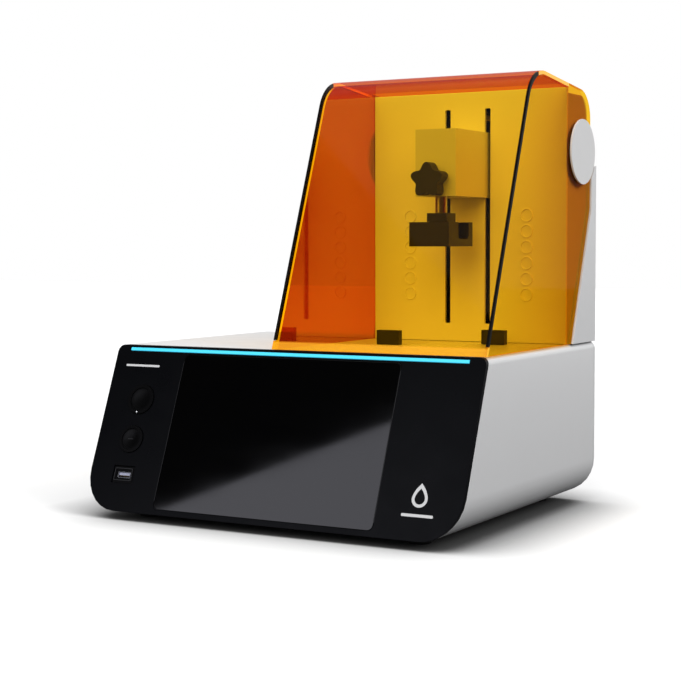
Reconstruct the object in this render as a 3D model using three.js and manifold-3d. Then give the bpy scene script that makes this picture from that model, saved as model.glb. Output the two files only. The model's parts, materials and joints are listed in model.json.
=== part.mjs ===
// Desktop DLP resin printer with a tilting amber hood, as an assembly of separate parts.
// Millimetres, +Z up. X runs to the right, Y runs to the back and the floor is at Z = 0.
// Parts are drawn with Y = 0 at the top edge of the front panel and X = 0 at the body's centre.
// The last lines move the whole printer so that its origin is the bottom centre of its box.

import * as THREE from 'three';
import { mergeVertices } from 'three/addons/utils/BufferGeometryUtils.js';
import Module from 'manifold-3d';

const wasm = await Module();
wasm.setup();

// ---------------------------------------------------------------- driving dimensions

const GAP = 0.3; // between neighbouring parts
const FAR = 400; // longer than anything that is cut

const BODY = { half: 170, bottom: 7, deck: 138.7, rear: 223, topRadius: 6, bottomRadius: 31, wall: 3 };
const PANEL = { run: 52.4, thick: 4 }; // run: how far the foot of the panel stands out in front of its top
const HOOD = {
  left: -18.6, right: 169, frontSlope: 0.385, crownY: 86, crownZ: 361.5, topSlope: 0.1, bend: 33,
  sheet: 3, cheek: 3.5, sheetEnd: 161.8, rear: 210.5, rearRadius: 24,
  waistZ: 253, waistRadius: 16, heelY: 169.5, // where a cheek's rear edge turns, and its heel
};
const SEAM = { wide: 2, lowZ: 146.3, endY: 97 }; // dark bonding strips along the edges of the bent sheet
const HINGE = {
  y: 190.5, z: 299.3, capRadius: 27.2, capThick: 1.5, pinRadius: 5, pinLength: 14,
  sweepRadius: 30.4, // clears the corners of the cheeks as they turn
};
const COLUMN = {
  left: -14.8, right: 165.2, front: 166.8, plate: 3, top: 351.4, wall: 3, seamZ: 277.7, seamSlope: 0.2,
};
const STRIP = { left: -19.6, right: 170 }; // outer faces of the column behind the hood's cheeks
const HEAD = { rear: 212, top: 347, radius: 14 };
const SLOT = { wide: 5, centres: [56.3, 93.7], low: 154.3, high: 337.2 };
const AXIS = { x: 75, y: 116 }; // optical axis of the projector and centre of the build platform
const SCREW = { x: 75, y: 180, radius: 4, top: 342.5 };
const ARM = { left: 56.6, right: 93.4, front: 105, low: 261.7, high: 316.8, sheet: 1.9 };
const PLATFORM = { wide: 36, front: 92.8, back: 138.9, low: 220.6, high: 240.5 };
const KNOB = { z: 274.5, front: 88, back: 100, radius: 12.4, lobe: 2.3, lobes: 5, neck: 7, stud: 3 };
const FOOT = { radius: 10, chamfer: 1.2, x: 124, frontY: -20, rearY: 204 };

const LEAN = Math.atan2(PANEL.run, BODY.deck - BODY.bottom);
const PANEL_LENGTH = (BODY.deck - BODY.bottom) / Math.cos(LEAN);

const WHITE = { color: 0xc9cacd, roughness: 0.45, metalness: 0 };
const BLACK = { color: 0x0d0e10, roughness: 0.3, metalness: 0 };
const AMBER = { color: 0xf59a10, roughness: 0.05, metalness: 0, transparent: true, opacity: 0.5 };
const GLASS = { color: 0x050506, roughness: 0.06, metalness: 0 };
const RUBBER = { color: 0x161616, roughness: 0.9, metalness: 0 };
const DARK = { color: 0x2a2b2e, roughness: 0.6, metalness: 0 };
const GREEN = { color: 0x1d5b34, roughness: 0.6, metalness: 0 };
const STEEL = { color: 0x9a9da1, roughness: 0.35, metalness: 1 };
const ALUMINIUM = { color: 0xb9bcc0, roughness: 0.4, metalness: 1 };

// ---------------------------------------------------------------- shapes and solids

// Rounds the corners of a closed outline. Each corner is [a, b, radius].
function rounded(corners, steps = 8) {
  const points = [];
  corners.forEach(([a, b, radius = 0], i) => {
    const corner = new THREE.Vector2(a, b);
    if (radius <= 0) {
      points.push([a, b]);
      return;
    }
    const before = corners[(i + corners.length - 1) % corners.length];
    const after = corners[(i + 1) % corners.length];
    points.push(...arcAt(corner, new THREE.Vector2(...before), new THREE.Vector2(...after), radius, steps));
  });
  return points;
}

function arcAt(corner, before, after, radius, steps) {
  const back = before.clone().sub(corner).normalize();
  const forth = after.clone().sub(corner).normalize();
  const half = Math.acos(back.dot(forth)) / 2;
  const centre = corner.clone().addScaledVector(back.clone().add(forth).normalize(), radius / Math.sin(half));
  const first = corner.clone().addScaledVector(back, radius / Math.tan(half)).sub(centre);
  const last = corner.clone().addScaledVector(forth, radius / Math.tan(half)).sub(centre);
  const start = Math.atan2(first.y, first.x);
  const turn = Math.atan2(first.x * last.y - first.y * last.x, first.dot(last));
  return Array.from({ length: steps + 1 }, (_, k) => {
    const angle = start + (turn * k) / steps;
    return [centre.x + radius * Math.cos(angle), centre.y + radius * Math.sin(angle)];
  });
}

function circle(a, b, radius, sides = 32) {
  return Array.from({ length: sides }, (_, k) => {
    const angle = (2 * Math.PI * k) / sides;
    return [a + radius * Math.cos(angle), b + radius * Math.sin(angle)];
  });
}

function rect(a0, a1, b0, b1, radius = 0, steps = 4) {
  return rounded([[a0, b0, radius], [a1, b0, radius], [a1, b1, radius], [a0, b1, radius]], steps);
}

function extrude(outline, depth, holes) {
  const vectors = (points) => points.map(([a, b]) => new THREE.Vector2(a, b));
  const shape = new THREE.Shape(vectors(outline));
  shape.holes = holes.map((hole) => new THREE.Path(vectors(hole)));
  return new THREE.ExtrudeGeometry(shape, { depth, bevelEnabled: false });
}

// An outline of [y, z] points, extruded along X.
function alongX(outline, x0, x1, holes = []) {
  const turn = new THREE.Matrix4().makeBasis(
    new THREE.Vector3(0, 1, 0), new THREE.Vector3(0, 0, 1), new THREE.Vector3(1, 0, 0));
  return extrude(outline, x1 - x0, holes).applyMatrix4(turn).translate(x0, 0, 0);
}

// An outline of [x, z] points, extruded along Y.
function alongY(outline, y0, y1, holes = []) {
  return extrude(outline, y1 - y0, holes).rotateX(Math.PI / 2).translate(0, y1, 0);
}

// An outline of [x, y] points, extruded along Z.
function alongZ(outline, z0, z1, holes = []) {
  return extrude(outline, z1 - z0, holes).translate(0, 0, z0);
}

function box(x0, x1, y0, y1, z0, z1) {
  return new THREE.BoxGeometry(x1 - x0, y1 - y0, z1 - z0)
    .translate((x0 + x1) / 2, (y0 + y1) / 2, (z0 + z1) / 2);
}

function toSolid(geometry) {
  const plain = geometry.clone();
  plain.deleteAttribute('normal');
  plain.deleteAttribute('uv');
  const welded = mergeVertices(plain, 1e-4);
  return new wasm.Manifold(new wasm.Mesh({
    numProp: 3,
    vertProperties: new Float32Array(welded.attributes.position.array),
    triVerts: new Uint32Array(welded.index.array),
  }));
}

function toGeometry(solid) {
  const mesh = solid.getMesh();
  const geometry = new THREE.BufferGeometry();
  geometry.setAttribute('position', new THREE.BufferAttribute(mesh.vertProperties, 3));
  geometry.setIndex(new THREE.BufferAttribute(mesh.triVerts, 1));
  return geometry;
}

function cut(geometry, ...tools) {
  return toGeometry(tools.reduce((solid, tool) => solid.subtract(toSolid(tool)), toSolid(geometry)));
}

function join(geometry, ...others) {
  return toGeometry(others.reduce((solid, other) => solid.add(toSolid(other)), toSolid(geometry)));
}

function common(geometry, other) {
  return toGeometry(toSolid(geometry).intersect(toSolid(other)));
}

const printer = new THREE.Group();

function part(name, geometry, look, parent = printer) {
  const mesh = new THREE.Mesh(geometry, new THREE.MeshStandardMaterial(look));
  mesh.name = name;
  parent.add(mesh);
  return mesh;
}

// ---------------------------------------------------------------- body

function bodyOutline(inset) {
  const half = BODY.half - inset;
  const top = BODY.deck - inset;
  const bottom = BODY.bottom + inset;
  return rounded([
    [-half, top, BODY.topRadius - inset], [half, top, BODY.topRadius - inset],
    [half, bottom, BODY.bottomRadius - inset], [-half, bottom, BODY.bottomRadius - inset],
  ], 7);
}

// Everything in front of the leaning plane that lies `depth` behind the panel's face.
function inFrontOf(depth) {
  const yAt = (z) => depth / Math.cos(LEAN) - (BODY.deck - z) * Math.tan(LEAN);
  return alongX([[-FAR, -50], [yAt(-50), -50], [yAt(250), 250], [-FAR, 250]], -FAR, FAR);
}

const COVER = { half: 130, thick: 2 };
const WINDOW = { halfX: 24, halfY: 35, thick: 2.8 };
const FAN = { x: -105, z: 77, size: 60, depth: 15, bore: 28, hub: 12, slotPitch: 10.5, slotHigh: 6 };
const INLET = { x: -40, z: 57, wide: 28, high: 48, depth: 24, wing: 4, wingThick: 2, switchUp: 13 };
const ROCKER_TILT = 8; // the switch rests in its off position
const NETWORK = { x: 20, z: 43, wide: 16, high: 14, depth: 18 };
const VENT = { x0: 36, pitch: 12, wide: 4, y0: 60, y1: 130 }; // cooling slots of the bottom cover
const MOTOR_HOLE = 13; // radius of the hole in the deck for the screw's coupler

function addBody() {
  const shellRear = BODY.rear - BODY.wall - GAP;
  const windowHole = (grow, z0, z1) => box(
    AXIS.x - WINDOW.halfX - grow, AXIS.x + WINDOW.halfX + grow,
    AXIS.y - WINDOW.halfY - grow, AXIS.y + WINDOW.halfY + grow, z0, z1);
  part('base_shell', cut(
    alongY(bodyOutline(0), -FAR, shellRear),
    alongY(bodyOutline(BODY.wall), -FAR, FAR),
    inFrontOf(PANEL.thick + GAP),
    box(-COVER.half - GAP, COVER.half + GAP, -FAR, FAR, 0, BODY.bottom + BODY.wall + 1),
    windowHole(GAP, BODY.deck - 5, BODY.deck + 5),
    alongZ(circle(SCREW.x, SCREW.y, MOTOR_HOLE), BODY.deck - 5, BODY.deck + 5),
  ), WHITE);
  part('projection_window', windowHole(0, BODY.deck - WINDOW.thick, BODY.deck), {
    color: 0xdfe3e6, roughness: 0.1, metalness: 0,
  });

  const ventSlots = [0, 1, 2, 3, 4].map((k) => {
    const x = VENT.x0 + VENT.pitch * k;
    return box(x, x + VENT.wide, VENT.y0, VENT.y1, 0, BODY.bottom + 10);
  });
  part('bottom_cover', cut(
    box(-COVER.half, COVER.half, -FAR, shellRear, BODY.bottom, BODY.bottom + COVER.thick),
    inFrontOf(PANEL.thick + GAP), ...ventSlots,
  ), DARK);

  const fanSlots = [-2, -1, 0, 1, 2].map((k) => {
    const up = FAN.slotPitch * k;
    const half = Math.sqrt(FAN.bore ** 2 - up ** 2) - 2;
    const z = FAN.z + up;
    const slot = rect(FAN.x - half, FAN.x + half, z - FAN.slotHigh / 2, z + FAN.slotHigh / 2, 2.9, 3);
    return alongY(slot, BODY.rear - 10, BODY.rear + 10);
  });
  const opening = ({ x, z, wide, high }) => box(
    x - wide / 2 - GAP, x + wide / 2 + GAP, BODY.rear - 10, BODY.rear + 10,
    z - high / 2 - GAP, z + high / 2 + GAP);
  part('rear_panel', cut(
    alongY(bodyOutline(0), BODY.rear - BODY.wall, BODY.rear), ...fanSlots, opening(INLET), opening(NETWORK),
  ), WHITE);

  const footTop = BODY.bottom - GAP;
  for (const [end, y] of [['front', FOOT.frontY], ['rear', FOOT.rearY]]) {
    for (const [side, x] of [['left', -FOOT.x], ['right', FOOT.x]]) {
      const { radius, chamfer } = FOOT;
      const profile = [[0, 0], [radius - chamfer, 0], [radius, chamfer], [radius, footTop], [0, footTop]];
      const foot = new THREE.LatheGeometry(profile.map(([r, z]) => new THREE.Vector2(r, z)), 24);
      part(`foot_${end}_${side}`, foot.rotateX(Math.PI / 2), RUBBER).position.set(x, y, 0);
    }
  }
}

// ---------------------------------------------------------------- front panel
// The panel group's X runs right, its Y runs up the slope from the top edge and its Z points out.

const SCREEN = { half: 100, top: 6.6, bottom: 137, radius: 4.5, glass: 2, module: 9 };
const STRIP_LIGHT = { from: -156.8, to: 155.8, top: 2.2, bottom: 4.8, deep: 2.5 };
const BUTTONS = [
  { name: 'power_button', x: -135, down: 47, bezel: 12.5, cap: 9.6 },
  { name: 'menu_button', x: -136, down: 81, bezel: 11.4, cap: 8.7 },
];
const BUTTON = { proud: 0.9, capProud: 0.5, rim: 1, dish: 0.7, deep: 9, sides: 36 };
const USB = {
  x: -136.4, down: 111, wide: 20.8, high: 14, sink: 1.2, deep: 14, plugWide: 12.6, plugHigh: 5.4,
};

const aboutUsb = (wide, high) => rect(
  USB.x - wide / 2, USB.x + wide / 2, -USB.down - high / 2, -USB.down + high / 2);

function addFrontPanel() {
  const panel = new THREE.Group();
  panel.position.set(0, 0, BODY.deck);
  panel.rotation.x = Math.PI / 2 - LEAN;
  panel.updateMatrix();
  printer.add(panel);
  const toPanel = panel.matrix.clone().invert();

  const slab = common(alongY(bodyOutline(0), -FAR, FAR).applyMatrix4(toPanel),
    box(-FAR, FAR, -PANEL_LENGTH - 20, 20, -PANEL.thick, 0));
  const screenHole = rect(-SCREEN.half - GAP, SCREEN.half + GAP, -SCREEN.bottom - GAP, -SCREEN.top + GAP,
    SCREEN.radius + GAP);
  const through = (outline) => alongZ(outline, -20, 20);
  part('front_panel', cut(slab, through(screenHole),
    box(STRIP_LIGHT.from - GAP, STRIP_LIGHT.to + GAP, -STRIP_LIGHT.bottom - GAP, -STRIP_LIGHT.top + GAP,
      -STRIP_LIGHT.deep - GAP, 20),
    ...BUTTONS.map((button) => through(circle(button.x, -button.down, button.bezel + GAP, BUTTON.sides))),
    through(aboutUsb(USB.wide + 2 * GAP, USB.high + 2 * GAP)),
  ), BLACK, panel);

  part('light_strip', box(STRIP_LIGHT.from, STRIP_LIGHT.to, -STRIP_LIGHT.bottom, -STRIP_LIGHT.top,
    -STRIP_LIGHT.deep, 0), { color: 0x3cc3dd, roughness: 0.3, metalness: 0, emissive: 0x2fb6d2 }, panel);

  const glass = rect(-SCREEN.half, SCREEN.half, -SCREEN.bottom, -SCREEN.top, SCREEN.radius);
  part('touchscreen_glass', alongZ(glass, -SCREEN.glass, 0), GLASS, panel);
  const module = { half: SCREEN.half - 2, low: -SCREEN.bottom + 4, high: -SCREEN.top - 2 };
  part('display_module', box(-module.half, module.half, module.low, module.high,
    -SCREEN.glass - GAP - SCREEN.module, -SCREEN.glass - GAP), DARK, panel);

  for (const button of BUTTONS) addButton(button, panel);

  const shell = alongZ(aboutUsb(USB.wide, USB.high), -USB.deep, -USB.sink);
  const socket = alongZ(aboutUsb(USB.plugWide, USB.plugHigh), -USB.deep + 2, 5);
  part('usb_port', cut(shell, socket), DARK, panel);
}

function addButton({ name, x, down, bezel, cap }, panel) {
  const { sides, deep, proud, capProud, rim, dish } = BUTTON;
  const ring = alongZ(circle(0, 0, bezel, sides), -deep, proud, [circle(0, 0, cap + GAP, sides)]);
  part(`${name}_bezel`, ring, BLACK, panel).position.set(x, -down, 0);
  const base = -deep + 1;
  const bowl = cap - rim;
  const profile = [[0, base], [cap, base], [cap, capProud], [bowl, capProud]];
  const steps = 4;
  for (let k = 1; k <= steps; k += 1) {
    const share = 1 - k / steps;
    profile.push([bowl * share, capProud - dish * (1 - share ** 2)]);
  }
  const dished = new THREE.LatheGeometry(profile.map(([r, z]) => new THREE.Vector2(r, z)), sides);
  part(name, dished.rotateX(Math.PI / 2), BLACK, panel).position.set(x, -down, 0);
}

// ---------------------------------------------------------------- column behind the hood

const REAR_VENT = { half: 45, low: 195, pitch: 10, high: 4 };

const seamAt = (y) => COLUMN.seamZ + (y - COLUMN.front) * COLUMN.seamSlope;

function addColumn() {
  const foot = BODY.deck + GAP;
  const half = SLOT.wide / 2;
  const slots = SLOT.centres.map((x) => rect(x - half, x + half, SLOT.low, SLOT.high, 1, 2));
  part('back_plate', alongY(rect(COLUMN.left, COLUMN.right, foot, COLUMN.top),
    COLUMN.front, COLUMN.front + COLUMN.plate, slots), WHITE);

  const inside = COLUMN.front + COLUMN.plate + GAP;
  const web = [[inside, foot], [BODY.rear, foot], [BODY.rear, seamAt(BODY.rear)], [inside, seamAt(inside)]];
  const strip = [
    [HOOD.heelY + 1.5, foot], [BODY.rear, foot], [BODY.rear, seamAt(BODY.rear)],
    [HOOD.rear + 1.2, seamAt(HOOD.rear)], [HOOD.rear + 1.2, HOOD.waistZ - 2],
  ]; // follows the rear edge of the hood's cheek
  const sweep = (x0, x1) => alongX(circle(HINGE.y, HINGE.z, HINGE.sweepRadius, 48), x0, x1);
  part('column_side_right', join(
    alongX(web, COLUMN.right - COLUMN.wall, COLUMN.right),
    cut(alongX(strip, COLUMN.right - 1, STRIP.right), sweep(COLUMN.right, FAR)),
  ), WHITE);
  part('column_side_left', join(
    alongX(web, COLUMN.left, COLUMN.left + COLUMN.wall),
    cut(alongX(strip, STRIP.left, COLUMN.left + 1), sweep(-FAR, COLUMN.left)),
  ), WHITE);

  const innerLeft = COLUMN.left + COLUMN.wall;
  const innerRight = COLUMN.right - COLUMN.wall;
  const ledge = HEAD.rear + GAP;
  const cover = [
    [BODY.rear - COLUMN.wall, foot], [BODY.rear, foot],
    [BODY.rear, seamAt(BODY.rear)], [ledge, seamAt(ledge)],
    [ledge, seamAt(ledge) - COLUMN.wall], [BODY.rear - COLUMN.wall, seamAt(BODY.rear) - COLUMN.wall],
  ];
  const vents = [0, 1, 2, 3, 4, 5].map((k) => {
    const z = REAR_VENT.low + REAR_VENT.pitch * k;
    const slot = rect(AXIS.x - REAR_VENT.half, AXIS.x + REAR_VENT.half, z, z + REAR_VENT.high, 1.9, 3);
    return alongY(slot, BODY.rear - 10, BODY.rear + 10);
  });
  part('column_rear_cover', cut(alongX(cover, innerLeft + GAP, innerRight - GAP), ...vents), WHITE);

  const headOutline = (inset, front, drop) => rounded([
    [front, seamAt(front) + GAP - drop], [HEAD.rear - inset, seamAt(HEAD.rear) + GAP - drop],
    [HEAD.rear - inset, HEAD.top - inset, HEAD.radius - inset], [front, HEAD.top - inset],
  ], 8);
  part('column_head', cut(
    alongX(headOutline(0, inside, 0), COLUMN.left, COLUMN.right),
    alongX(headOutline(COLUMN.wall, inside - 20, 40), innerLeft, innerRight),
    alongX(circle(HINGE.y, HINGE.z, HINGE.pinRadius + GAP, 24), -FAR, FAR),
  ), WHITE);
}

// ---------------------------------------------------------------- Z axis

const SPINE = { halfX: 45, front: 204, back: 207.5, top: 337.5 };
const RAIL = { wide: 12, high: 7.7, low: 145, top: 329 };
const TRUCK = { wide: 27, high: 10, low: 267, top: 309 };
const CARRIAGE = {
  halfX: 23, thick: 4, low: 263, top: 315, lugHalf: 13, lugFront: 7.5, lugLow: 285, lugHigh: 293,
};
const NUT = { body: 5.1, flange: 6.4, flangeThick: 3.5, low: 279 };
const BEARING = { half: 13, front: 8, low: 334, top: 341.5 };
const COUPLER = { radius: 9, low: 141.5, high: 161, bore: 11 };
const MOTOR = { half: 21, top: 135.4, high: 38, boss: 11, shaft: 2.5 };

function addZAxis() {
  const { x, y, radius } = SCREW;
  const foot = BODY.deck + GAP;
  const { halfX, front, back, top } = SPINE;
  part('column_spine', box(x - halfX, x + halfX, front, back, foot, top), ALUMINIUM);

  const railFront = front - GAP - RAIL.high;
  const railHalf = RAIL.wide / 2;
  part('linear_rail', box(x - railHalf, x + railHalf, railFront, front - GAP, RAIL.low, RAIL.top), STEEL);
  const truckFront = railFront - 5;
  part('rail_carriage', cut(
    box(x - TRUCK.wide / 2, x + TRUCK.wide / 2, truckFront, truckFront + TRUCK.high, TRUCK.low, TRUCK.top),
    box(x - railHalf - GAP, x + railHalf + GAP, railFront - GAP, FAR, 0, FAR),
  ), STEEL);

  const plateBack = truckFront - GAP;
  const plateFront = plateBack - CARRIAGE.thick;
  const nutBore = alongZ(circle(x, y, NUT.body + GAP, 24), 0, FAR);
  part('carriage_plate', cut(join(
    box(x - CARRIAGE.halfX, x + CARRIAGE.halfX, plateFront, plateBack, CARRIAGE.low, CARRIAGE.top),
    box(x - CARRIAGE.lugHalf, x + CARRIAGE.lugHalf, y - CARRIAGE.lugFront, plateFront + 1,
      CARRIAGE.lugLow, CARRIAGE.lugHigh),
  ), nutBore), ALUMINIUM);
  const flangeLow = CARRIAGE.lugHigh + GAP;
  part('lead_nut', cut(join(
    alongZ(circle(x, y, NUT.body, 24), NUT.low, flangeLow + 1),
    alongZ(circle(x, y, NUT.flange, 24), flangeLow, flangeLow + NUT.flangeThick),
  ), alongZ(circle(x, y, radius + GAP, 24), 0, FAR)), { color: 0xb08d3c, roughness: 0.35, metalness: 1 });

  part('lead_screw', alongZ(circle(x, y, radius, 24), COUPLER.high + GAP, SCREW.top), STEEL);
  part('shaft_coupler', cut(
    alongZ(circle(x, y, COUPLER.radius, 28), COUPLER.low, COUPLER.high),
    alongZ(circle(x, y, MOTOR.shaft + GAP, 16), 0, COUPLER.low + COUPLER.bore),
  ), ALUMINIUM);
  part('top_bearing', cut(
    box(x - BEARING.half, x + BEARING.half, y - BEARING.front, front - GAP, BEARING.low, BEARING.top),
    alongZ(circle(x, y, radius + GAP, 24), 0, FAR),
  ), DARK);

  const motor = rect(x - MOTOR.half, x + MOTOR.half, y - MOTOR.half, y + MOTOR.half, 4, 2);
  part('stepper_motor', join(
    alongZ(motor, MOTOR.top - MOTOR.high, MOTOR.top),
    alongZ(circle(x, y, MOTOR.boss, 28), MOTOR.top - 1, MOTOR.top + 2),
    alongZ(circle(x, y, MOTOR.shaft, 16), MOTOR.top - 1, COUPLER.low + COUPLER.bore - 1),
  ), DARK);
  return plateFront;
}

// ---------------------------------------------------------------- build arm and platform

const STEM = { radius: 5, low: 248.3, high: 291, boss: 10, bossTop: 295 };
const NECK = { half: 9, low: 240.8, high: 248 };
const POCKET = { y0: 111, y1: 131, low: 226.6, deep: 8.5, radius: 4 };
const VAT_STOP = { wide: 21, deep: 6, high: 12, x: 25.8, y: 94, centreY: 117 };

function addArm(carriageFront) {
  const { left, right, front, low, high, sheet } = ARM;
  const plateStop = COLUMN.front - 1;
  const stud = alongY(circle(AXIS.x, KNOB.z, KNOB.stud + GAP, 18), front - 5, AXIS.y);
  const bracket = cut(
    box(left, right, front, carriageFront - GAP, low, high),
    box(left + sheet, right - sheet, front + sheet, FAR, low + sheet, high - sheet),
    box(left + sheet, right - sheet, plateStop, FAR, low - 5, high + 5),
  );
  part('arm_bracket', cut(
    join(bracket, alongZ(circle(AXIS.x, AXIS.y, STEM.boss, 28), low + 0.5, STEM.bossTop)),
    alongZ(circle(AXIS.x, AXIS.y, STEM.radius + GAP, 28), 0, STEM.bossTop + 5), stud,
  ), WHITE);

  part('platform_stem', alongZ(circle(AXIS.x, AXIS.y, STEM.radius, 28), STEM.low, STEM.high), ALUMINIUM);
  part('platform_neck', box(AXIS.x - NECK.half, AXIS.x + NECK.half, AXIS.y - NECK.half, AXIS.y + NECK.half,
    NECK.low, NECK.high), BLACK);

  const x0 = AXIS.x - PLATFORM.wide / 2;
  const x1 = AXIS.x + PLATFORM.wide / 2;
  const pocket = (from, to) => alongX(rounded([
    [POCKET.y0, PLATFORM.high + 5], [POCKET.y0, POCKET.low, POCKET.radius],
    [POCKET.y1, POCKET.low, POCKET.radius], [POCKET.y1, PLATFORM.high + 5],
  ], 4), from, to);
  part('build_platform', cut(
    box(x0, x1, PLATFORM.front, PLATFORM.back, PLATFORM.low, PLATFORM.high),
    pocket(x0 - 5, x0 + POCKET.deep), pocket(x1 - POCKET.deep, x1 + 5),
  ), BLACK);

  const star = Array.from({ length: 60 }, (_, k) => {
    const angle = (2 * Math.PI * k) / 60;
    const reach = KNOB.radius + KNOB.lobe * Math.cos(KNOB.lobes * (angle - Math.PI / 2));
    return [AXIS.x + reach * Math.cos(angle), KNOB.z + reach * Math.sin(angle)];
  });
  part('clamp_knob', join(
    alongY(star, KNOB.front, KNOB.back),
    alongY(circle(AXIS.x, KNOB.z, KNOB.neck, 24), KNOB.back - 1, front - GAP),
    alongY(circle(AXIS.x, KNOB.z, KNOB.stud, 18), KNOB.back - 1, AXIS.y - STEM.radius - GAP),
  ), BLACK);

}

// Two blocks on the deck, one turned by half a turn about the vat's centre.
function addVatStops() {
  const { wide, deep, high, x: leftX, y: leftY, centreY } = VAT_STOP;
  const low = BODY.deck + GAP;
  const places = [['left', leftX, leftY], ['right', 2 * AXIS.x - leftX - wide, 2 * centreY - leftY - deep]];
  for (const [side, x, y] of places) {
    part(`vat_stop_${side}`, box(x, x + wide, y, y + deep, low, low + high), BLACK);
  }
}

// ---------------------------------------------------------------- hood

// One side of the hood's bent sheet, `inset` mm in from its outer face, from the deck to y = endY.
function hoodPath(inset, endY) {
  const rise = new THREE.Vector2(HOOD.frontSlope, 1).normalize();
  const top = new THREE.Vector2(1, -HOOD.topSlope).normalize();
  const face = new THREE.Vector2(rise.y * inset, BODY.deck - rise.x * inset);
  const roof = new THREE.Vector2(HOOD.crownY + top.y * inset, HOOD.crownZ - top.x * inset);
  const along = (roof.clone().sub(face).cross(top)) / rise.cross(top);
  const corner = face.clone().addScaledVector(rise, along);
  const low = BODY.deck + GAP;
  const start = new THREE.Vector2(face.x + (low - face.y) * HOOD.frontSlope, low);
  const end = new THREE.Vector2(endY, roof.y - (endY - roof.x) * HOOD.topSlope);
  return [[start.x, start.y], ...arcAt(corner, start, end, HOOD.bend - inset, 14), [end.x, end.y]];
}

const band = (outer, inner, endY) => [...hoodPath(outer, endY), ...hoodPath(inner, endY).reverse()];

function addHood() {
  const { left, right, sheet, cheek, sheetEnd } = HOOD;
  const edges = [['left', left, left + SEAM.wide], ['right', right - SEAM.wide, right]];
  const seamZone = (x0, x1, grow) => common(
    alongX(band(-grow, sheet + grow, sheetEnd), x0, x1),
    join(box(x0 - 1, x1 + 1, -FAR, HOOD.crownY, SEAM.lowZ - grow, FAR),
      box(x0 - 1, x1 + 1, HOOD.crownY - 1, SEAM.endY + grow, HOOD.crownZ - 60, FAR)));
  part('hood_front_sheet', cut(alongX(band(0, sheet, sheetEnd), left, right),
    ...edges.map(([, x0, x1]) => seamZone(x0 - GAP, x1 + GAP, GAP))), AMBER);

  const under = hoodPath(sheet + GAP, sheetEnd + GAP);
  const roofAt = (y) => HOOD.crownZ - (y - HOOD.crownY) * HOOD.topSlope;
  const back = rounded([
    [sheetEnd + GAP, roofAt(sheetEnd)], [HOOD.rear, roofAt(HOOD.rear), HOOD.rearRadius],
    [HOOD.rear, HOOD.waistZ, HOOD.waistRadius], [HOOD.heelY, BODY.deck + GAP],
  ], 8);
  const outline = [...under, ...back];
  const pinHole = circle(HINGE.y, HINGE.z, HINGE.pinRadius + GAP, 24);
  for (const [side, x0, x1] of [['left', left, left + cheek], ['right', right - cheek, right]]) {
    part(`hood_cheek_${side}`, alongX(outline, x0, x1, [pinHole]), AMBER);
  }
  for (const [side, x0, x1] of edges) part(`hood_seam_${side}`, seamZone(x0, x1, 0), BLACK);

  const { capThick, pinLength } = HINGE;
  const disc = circle(HINGE.y, HINGE.z, HINGE.capRadius, 56);
  const pin = circle(HINGE.y, HINGE.z, HINGE.pinRadius, 24);
  part('hinge_cap_right', alongX(disc, right + GAP, right + GAP + capThick), WHITE);
  part('hinge_cap_left', alongX(disc, left - GAP - capThick, left - GAP), WHITE);
  part('hinge_pin_right', alongX(pin, right - pinLength, right), STEEL);
  part('hinge_pin_left', alongX(pin, left, left + pinLength), STEEL);
}

// ---------------------------------------------------------------- projector and electronics

const ENGINE = { halfX: 38, y0: 82, y1: 148, low: 37, high: 91 };
const LENS = { radius: 17, wall: 3, recess: 6, top: 127 };
const SINK = { deep: 30, plate: 4, fins: 7, fin: 2 };
const SIDE_FAN = { size: 50, depth: 12, bore: 23.5, hub: 10 };
const ROTOR = { blades: 7, bladeThick: 1.8, pitch: 0.6, tipGap: 1.3, frontGap: 2.3, hubGap: 1, spoke: 1.6 };

// The rotor of a fan that turns about Z, from its back at Z = 0.
function rotor({ bore, hub, depth }) {
  const high = depth - ROTOR.frontGap - ROTOR.spoke;
  const core = alongZ(circle(0, 0, hub, 24), 0, high);
  const blades = Array.from({ length: ROTOR.blades }, (_, k) => {
    const half = ROTOR.bladeThick / 2;
    return box(hub - 2, bore - ROTOR.tipGap, -half, half, -high * 0.35, high * 0.35)
      .rotateX(ROTOR.pitch).translate(0, 0, high / 2).rotateZ((2 * Math.PI * k) / ROTOR.blades);
  });
  return join(core, ...blades);
}

// The square frame of a fan, with three spokes that carry its motor at Z = 0.
function fanFrame({ size, depth, bore, hub }) {
  const half = size / 2;
  const plate = hub + ROTOR.hubGap;
  const ring = alongZ(rect(-half, half, -half, half, 3, 2), 0, depth, [circle(0, 0, bore, 40)]);
  const hubPlate = alongZ(circle(0, 0, plate, 24), 0, ROTOR.spoke);
  const spokes = [0, 1, 2].map((k) => box(plate - 2, bore + 1, -1.2, 1.2, 0, ROTOR.spoke)
    .rotateZ((2 * Math.PI * k) / 3 + 0.3));
  return join(ring, hubPlate, ...spokes);
}

function addFan(name, spec, group) {
  printer.add(group);
  part(`${name}_frame`, fanFrame(spec), DARK, group);
  part(`${name}_rotor`, rotor(spec), DARK, group).position.set(0, 0, ROTOR.spoke + GAP + 0.3);
}

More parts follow.
